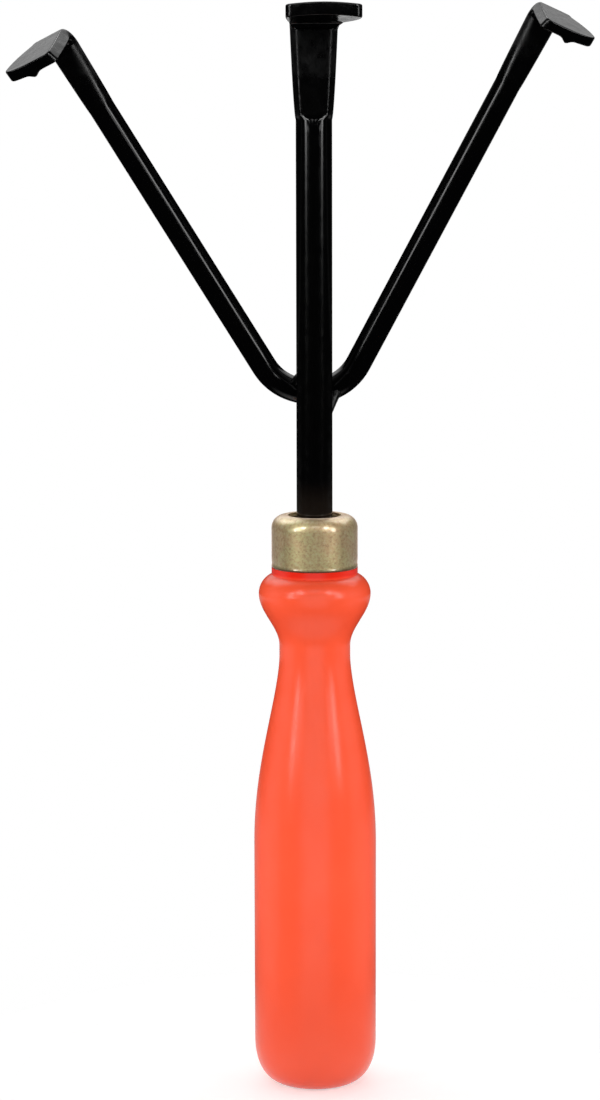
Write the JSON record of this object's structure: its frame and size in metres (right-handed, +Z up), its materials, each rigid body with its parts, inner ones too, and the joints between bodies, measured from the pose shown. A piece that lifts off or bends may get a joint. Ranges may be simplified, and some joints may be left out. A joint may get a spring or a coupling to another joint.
{
  "type": "hand cultivator",
  "caption": "Hand cultivator with a moulded handle, plated ferrule, forged centre tine and a V-bent rod of side tines, each ending in a flared blade bent forward.",
  "frame": {"origin": "centre of the butt's flat end, on the handle's axis", "axes": "+Z up the handle's axis to the tines, -Y the way the blades point, +X to the right seen from the blades' side"},
  "size_m": [0.1411, 0.0426, 0.2738],
  "materials": {
    "handle_plastic": "moulded, slightly satin orange",
    "plated_steel": "yellow zinc plate, fine grain",
    "black_enamel": "dipped gloss black enamel"
  },
  "bodies": {
    "root": {"handle": "handle_plastic", "ferrule": "plated_steel", "centre_tine": "black_enamel", "side_tines": "black_enamel", "left_weld": "black_enamel", "right_weld": "black_enamel"}
  },
  "joints": []
}
